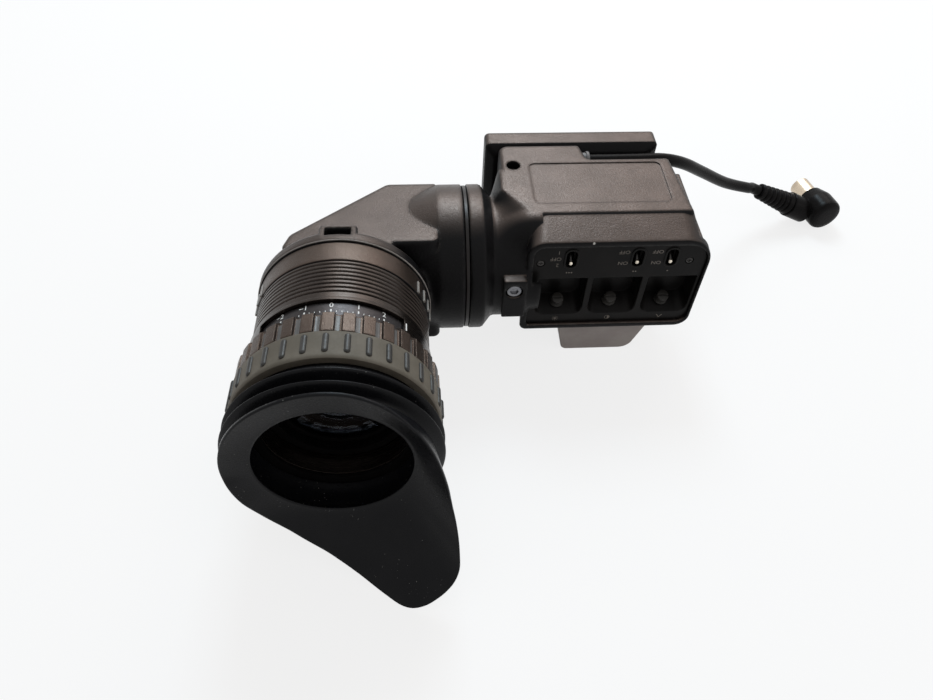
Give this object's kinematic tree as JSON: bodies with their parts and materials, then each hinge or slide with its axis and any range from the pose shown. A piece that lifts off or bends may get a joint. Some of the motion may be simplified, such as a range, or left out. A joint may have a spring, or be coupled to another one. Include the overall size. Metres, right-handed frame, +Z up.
{
  "type": "electronic viewfinder",
  "caption": "Studio camera viewfinder: display housing with knobs and switches, swivelling elbow, flip-up eyepiece with a turning dioptre ring, flapped rubber eyecup, and a cord with a plug.",
  "frame": {"origin": "centre of the viewfinder's bounding box without its cord and plug, at table height, with the unit lying upside down as pictured", "axes": "+X from the eyepiece's elbow to the display housing along the swivel axis, +Y from the eyecup to the mounting plate, +Z up from the table"},
  "size_m": [0.2888, 0.221, 0.0866],
  "materials": {
    "bare_metal": "bare brushed steel",
    "black_anodised": "black anodised, satin",
    "black_plastic": "fine matte grain",
    "circuit_board": "green laminate",
    "cord_jacket": "smooth black jacket",
    "grey_plastic": "matte",
    "grey_rubber": "weathered grey rubber",
    "lamp_cover": "smoked, slightly translucent",
    "lens_glass": "polished glass",
    "light_ring": "bare turned ring",
    "mirror_glass": "silvered front",
    "painted_casting": "semi-gloss brown-black paint, fine texture",
    "red_lamp": "clear red",
    "scale_enamel": "black with light numbers",
    "soft_rubber": "smooth soft black rubber",
    "yoke_winding": "enamelled copper wire"
  },
  "bodies": {
    "housing": {"cable_gland": "grey_plastic", "casing_screw": "black_anodised", "clamp_screw": "bare_metal", "control_board": "circuit_board", "control_panel": "black_plastic", "cord": "cord_jacket", "deflection_yoke": "yoke_winding", "high_voltage_module": "black_plastic", "housing_shell": "painted_casting", "main_board": "circuit_board", "mount_plate": "painted_casting", "panel_screw_left": "black_anodised", "panel_screw_right": "black_anodised", "picture_tube": "lens_glass", "plate_screw_a": "black_anodised", "plate_screw_b": "black_anodised", "plug_body": "cord_jacket", "plug_insert": "black_plastic", "plug_shell": "bare_metal", "side_cover": "painted_casting", "strain_relief": "cord_jacket", "switch_body_marker_a": "black_plastic", "switch_body_marker_b": "black_plastic", "switch_body_tally": "black_plastic", "swivel_washer": "light_ring", "tally_cover": "lamp_cover", "tally_lamp": "red_lamp", "trimmer_bright": "black_plastic", "trimmer_contrast": "black_plastic", "trimmer_peaking": "black_plastic", "tube_seat": "soft_rubber", "tube_socket": "circuit_board"},
    "elbow": {"elbow_shell": "painted_casting", "mirror": "mirror_glass", "mirror_carrier": "black_anodised", "swivel_retainer": "black_anodised"},
    "eyepiece": {"eyepiece_base": "painted_casting", "grooved_barrel": "black_anodised", "eyecup_keeper": "black_anodised", "hinge_pin": "bare_metal"},
    "latch": {"latch_catch": "black_anodised"},
    "dioptre": {"dioptre_ring": "painted_casting", "dioptre_scale": "scale_enamel"},
    "lens": {"lens_cell": "black_anodised", "eye_lens": "lens_glass", "field_lens": "lens_glass", "lens_retainer": "black_anodised"},
    "eyecup": {"eyecup": "soft_rubber", "eyecup_holder": "black_plastic", "rubber_ring": "grey_rubber"},
    "knob_bright": {"knob_bright": "black_plastic"},
    "knob_contrast": {"knob_contrast": "black_plastic"},
    "knob_peaking": {"knob_peaking": "black_plastic"},
    "lever_tally": {"switch_lever_tally": "bare_metal"},
    "lever_marker_a": {"switch_lever_marker_a": "bare_metal"},
    "lever_marker_b": {"switch_lever_marker_b": "bare_metal"}
  },
  "joints": [
    {"name": "elbow_swivel", "type": "hinge", "parent": "housing", "child": "elbow", "pos_m": [-0.0064, 0.0447, 0.04], "axis": [1, 0, 0], "range_deg": [-90, 90]},
    {"name": "eyepiece_flip", "type": "hinge", "parent": "elbow", "child": "eyepiece", "pos_m": [-0.0554, 0.0102, 0.00588], "axis": [1, 0, 0], "range_deg": [0, 100]},
    {"name": "latch_slide", "type": "slide", "parent": "eyepiece", "child": "latch", "axis": [0, -0.0938, -0.9956], "range_m": [0, 0.0012], "stiffness_N_per_m": 150, "springref_m": -0.002},
    {"name": "dioptre_turn", "type": "hinge", "parent": "eyepiece", "child": "dioptre", "pos_m": [-0.0554, -0.025, 0.04656], "axis": [0, 0.9956, -0.0938], "range_deg": [0, 98]},
    {"name": "lens_slide", "type": "slide", "parent": "eyepiece", "child": "lens", "axis": [0, 0.9956, -0.0938], "range_m": [0, 0.01061]},
    {"name": "eyecup_turn", "type": "hinge", "parent": "eyepiece", "child": "eyecup", "pos_m": [-0.0554, -0.045, 0.04844], "axis": [0, -0.9956, 0.0938], "range_deg": [-180, 180]},
    {"name": "bright_turn", "type": "hinge", "parent": "housing", "child": "knob_bright", "pos_m": [0.0332, 0.0295, 0.02719], "axis": [0, -0.4226, 0.9063], "range_deg": [-150, 150]},
    {"name": "contrast_turn", "type": "hinge", "parent": "housing", "child": "knob_contrast", "pos_m": [0.0562, 0.0295, 0.02719], "axis": [0, -0.4226, 0.9063], "range_deg": [-150, 150]},
    {"name": "peaking_turn", "type": "hinge", "parent": "housing", "child": "knob_peaking", "pos_m": [0.0792, 0.0295, 0.02719], "axis": [0, -0.4226, 0.9063], "range_deg": [-150, 150]},
    {"name": "tally_flick", "type": "hinge", "parent": "housing", "child": "lever_tally", "pos_m": [0.0351, 0.0291, 0.0575], "axis": [-1, 0, 0], "range_deg": [0, 24]},
    {"name": "marker_a_flick", "type": "hinge", "parent": "housing", "child": "lever_marker_a", "pos_m": [0.0621, 0.0291, 0.0575], "axis": [-1, 0, 0], "range_deg": [0, 24]},
    {"name": "marker_b_flick", "type": "hinge", "parent": "housing", "child": "lever_marker_b", "pos_m": [0.0758, 0.0291, 0.0575], "axis": [-1, 0, 0], "range_deg": [0, 24]}
  ],
  "couplings": [
    {"joint": "lens_slide", "follows": "dioptre_turn", "m_per_rad": 0.0062}
  ]
}
